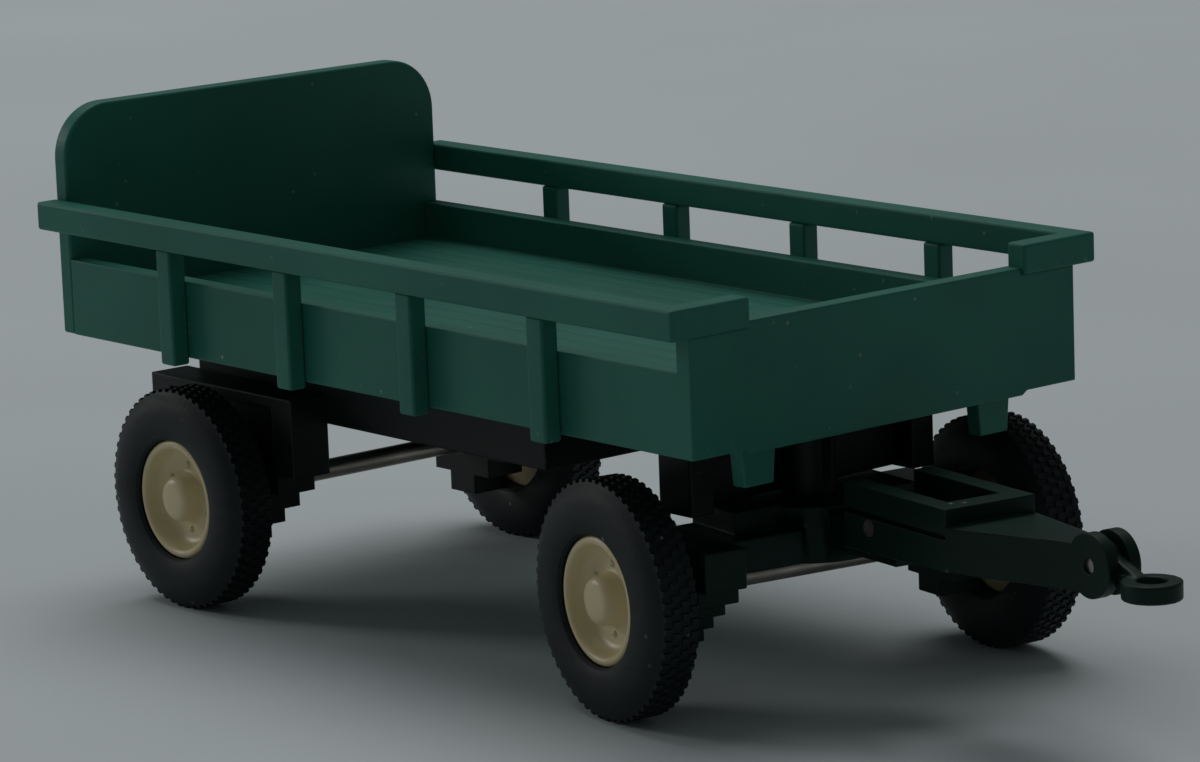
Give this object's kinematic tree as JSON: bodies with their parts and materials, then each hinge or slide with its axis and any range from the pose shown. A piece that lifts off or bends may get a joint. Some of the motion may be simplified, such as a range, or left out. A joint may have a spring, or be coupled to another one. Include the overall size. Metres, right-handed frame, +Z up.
{
  "type": "toy farm trailer",
  "caption": "Small plastic model of a flat farm trailer: low-sided bed with top rails and a tall end board, fixed rear axle, steered front bogie, hinged drawbar with a tow eye.",
  "frame": {"origin": "on the ground, under the middle of the whole part's box, with the bogie turned as it stands at rest", "axes": "+Z up, +X forward along the bed towards the drawbar, +Y to the trailer's left"},
  "size_m": [0.069, 0.0258, 0.0244],
  "materials": {
    "bed_green": "satin moulded plastic",
    "bogie_green": "satin moulded plastic, darker green",
    "chassis_black": "satin moulded plastic, near black",
    "tyre_black": "matt soft plastic with block tread",
    "rim_cream": "cream moulded plastic",
    "axle_steel": "drawn steel rod",
    "pin_steel": "steel pin"
  },
  "bodies": {
    "chassis": {"bed_tray": "bed_green", "headboard": "bed_green", "side_rail_left": "bed_green", "side_posts_left": "bed_green", "rear_spring_left": "chassis_black", "side_rail_right": "bed_green", "side_posts_right": "bed_green", "rear_spring_right": "chassis_black", "chassis_frame": "chassis_black", "bolster": "chassis_black", "kingpin": "pin_steel"},
    "bogie": {"bogie_frame": "bogie_green", "drawbar_hinge_pin": "pin_steel", "front_spring_left": "bogie_green", "front_spring_right": "bogie_green"},
    "drawbar": {"drawbar": "bogie_green", "tow_eye": "bogie_green", "tow_eye_pin": "pin_steel"},
    "front_wheelset": {"front_axle": "axle_steel", "front_tyre_left": "tyre_black", "front_rim_left": "rim_cream", "front_tyre_right": "tyre_black", "front_rim_right": "rim_cream"},
    "rear_wheelset": {"rear_axle": "axle_steel", "rear_tyre_left": "tyre_black", "rear_rim_left": "rim_cream", "rear_tyre_right": "tyre_black", "rear_rim_right": "rim_cream"}
  },
  "joints": [
    {"name": "bogie_steer", "type": "hinge", "parent": "chassis", "child": "bogie", "pos_m": [0.00819, 0, 0.0089], "axis": [0, 0, 1], "range_deg": [-26.5, 43.5]},
    {"name": "drawbar_lift", "type": "hinge", "parent": "bogie", "child": "drawbar", "pos_m": [0.0163, -0.00121, 0.0089], "axis": [-0.1478, -0.989, 0], "range_deg": [-20, 25]},
    {"name": "front_wheels_roll", "type": "hinge", "parent": "bogie", "child": "front_wheelset", "pos_m": [0.00819, 0, 0.0055], "axis": [0.1478, 0.989, 0], "continuous": true},
    {"name": "rear_wheels_roll", "type": "hinge", "parent": "chassis", "child": "rear_wheelset", "pos_m": [-0.02571, 0, 0.0055], "axis": [0, 1, 0], "continuous": true}
  ]
}
